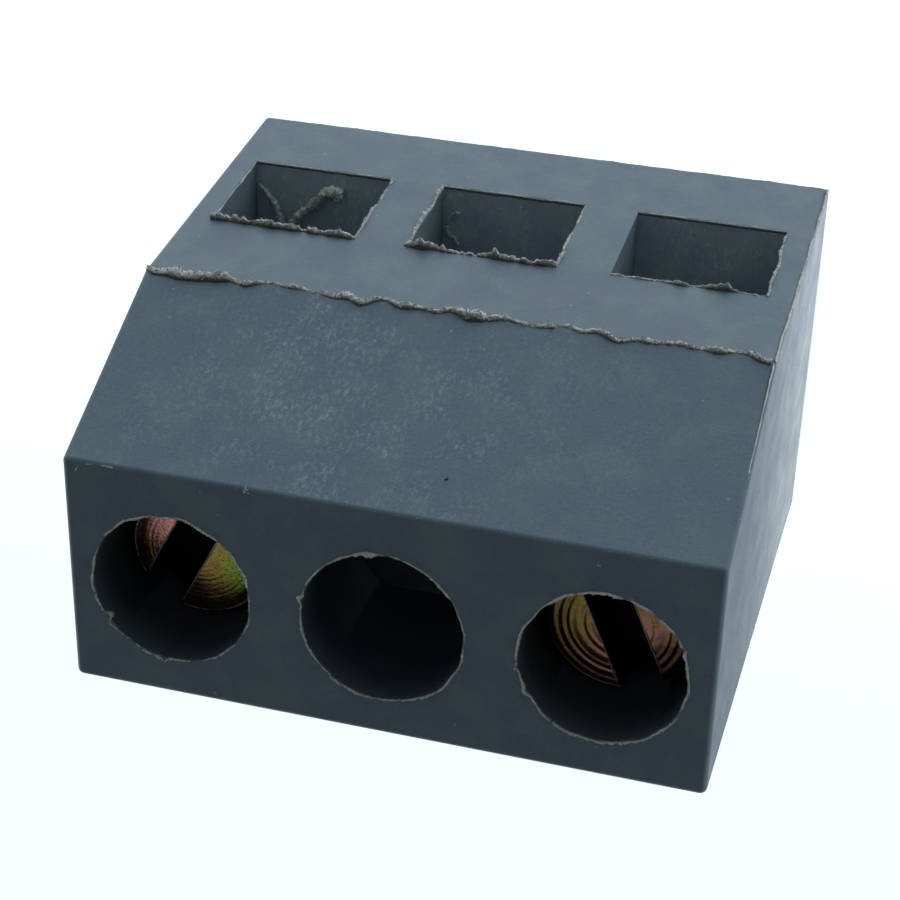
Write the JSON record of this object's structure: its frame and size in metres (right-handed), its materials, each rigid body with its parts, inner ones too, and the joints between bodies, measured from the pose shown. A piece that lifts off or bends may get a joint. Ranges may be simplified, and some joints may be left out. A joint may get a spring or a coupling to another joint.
{
  "type": "pcb screw terminal block",
  "caption": "Grey moulded screw terminal block for a circuit board, with slotted rising-clamp screws in round bores, square wire entries below a sloping front, and round solder pins.",
  "frame": {"origin": "middle of the row of solder pins, on the underside of the block, which is the plane of the circuit board", "axes": "+Z away from the board along the screws, -Y towards the side where the wires go in, +X along the row of poles"},
  "size_m": [0.0152, 0.0093, 0.017],
  "materials": {
    "housing_plastic": "blue-grey moulded polyamide, spark-eroded matt on the slope, semi-gloss elsewhere",
    "chromated_screw": "turned steel, zinc plated and yellow chromated, with pink and green iridescence",
    "plated_cage": "bright zinc plated folded steel",
    "tinned_contact": "tin plated brass strip",
    "tinned_pin": "tin plated, soft satin"
  },
  "bodies": {
    "housing": {"housing": "housing_plastic", "contact_bar_pole1": "tinned_contact", "contact_bar_pole3": "tinned_contact", "solder_pin_pole1": "tinned_pin", "solder_pin_pole3": "tinned_pin"},
    "screw_pole1": {"clamp_screw_pole1": "chromated_screw"},
    "cage_pole1": {"clamp_cage_pole1": "plated_cage"},
    "screw_pole3": {"clamp_screw_pole3": "chromated_screw"},
    "cage_pole3": {"clamp_cage_pole3": "plated_cage"}
  },
  "joints": [
    {"name": "screw_pole1_turn", "type": "hinge", "parent": "housing", "child": "screw_pole1", "pos_m": [-0.00508, 0, 0.01172], "axis": [0, 0, -1], "range_deg": [0, 1920]},
    {"name": "cage_pole1_lift", "type": "slide", "parent": "housing", "child": "cage_pole1", "axis": [0, 0, 1], "range_m": [0, 0.0024]},
    {"name": "screw_pole3_turn", "type": "hinge", "parent": "housing", "child": "screw_pole3", "pos_m": [0.00508, 0, 0.01172], "axis": [0, 0, -1], "range_deg": [0, 1920]},
    {"name": "cage_pole3_lift", "type": "slide", "parent": "housing", "child": "cage_pole3", "axis": [0, 0, 1], "range_m": [0, 0.0024]}
  ],
  "couplings": [
    {"joint": "screw_pole1_turn", "follows": "cage_pole1_lift", "rad_per_m": 13963},
    {"joint": "screw_pole3_turn", "follows": "cage_pole3_lift", "rad_per_m": 13963}
  ]
}
